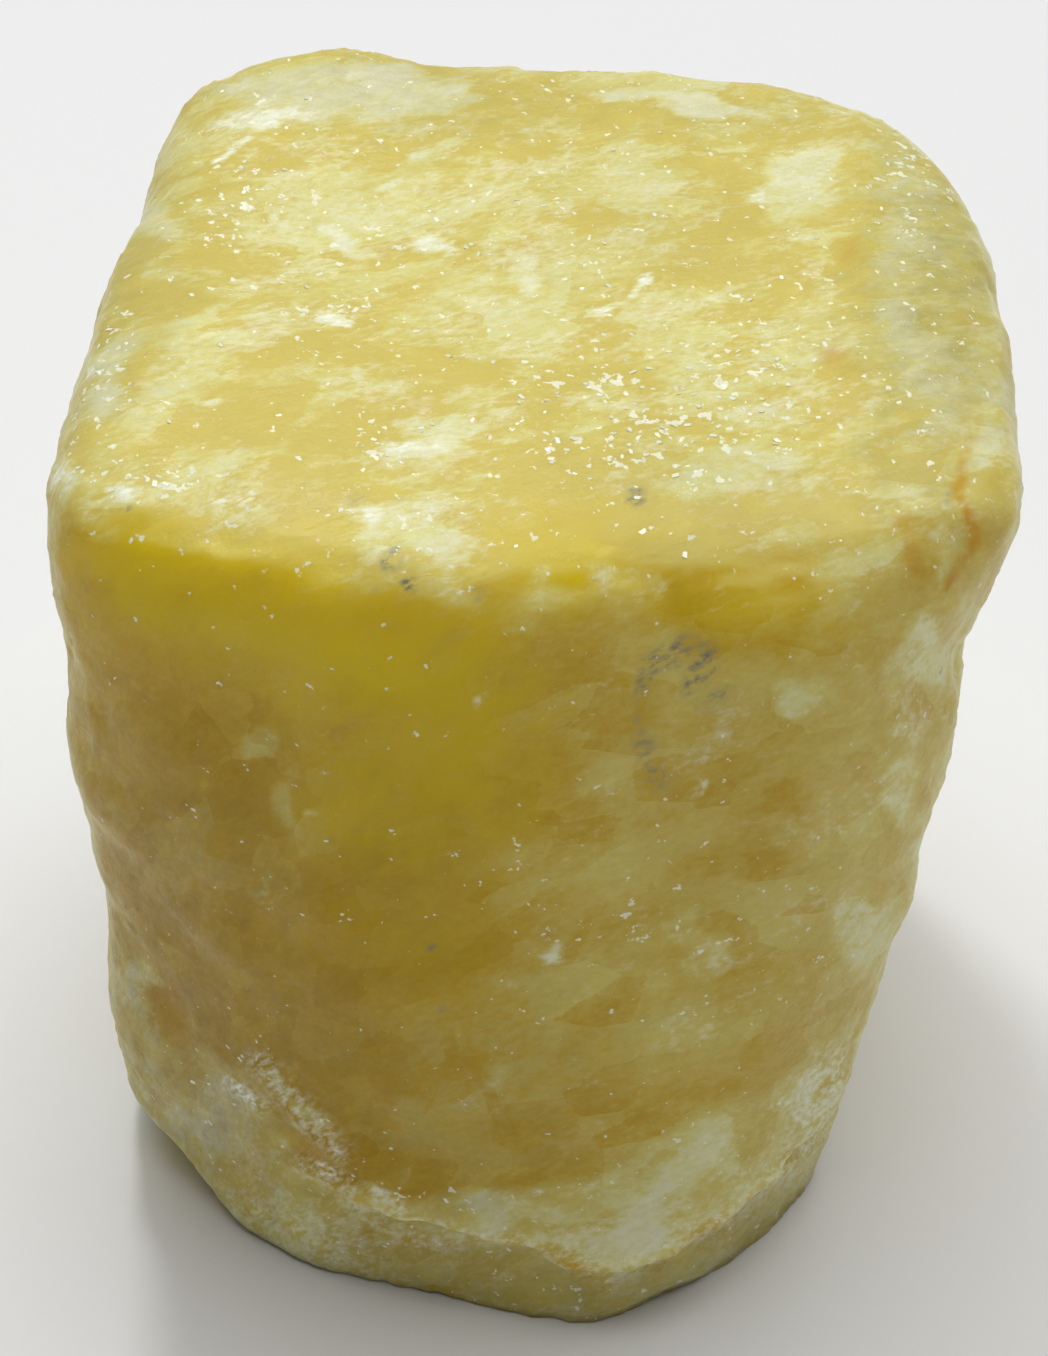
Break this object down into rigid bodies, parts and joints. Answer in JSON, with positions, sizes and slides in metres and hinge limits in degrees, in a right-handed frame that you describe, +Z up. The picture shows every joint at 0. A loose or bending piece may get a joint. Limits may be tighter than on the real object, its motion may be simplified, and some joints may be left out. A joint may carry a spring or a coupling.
{
  "type": "raw calcite block",
  "caption": "Chunky raw block of golden honey calcite with cream rinds, worn edges, a broad level top and a blunt two-faced front, standing on a flat broken foot.",
  "frame": {"origin": "on the surface that the block stands on, under the middle of its bounding box", "axes": "+Z up, +X to the right and -Y towards the front, which is the side with the blunt ridge and the lip over the foot"},
  "size_m": [0.0822, 0.0798, 0.0989],
  "materials": {
    "calcite": "worn, waxy and translucent natural calcite, honey yellow with milky cream rinds and small cleavage glints"
  },
  "bodies": {
    "root": {"calcite_block": "calcite"}
  },
  "joints": []
}
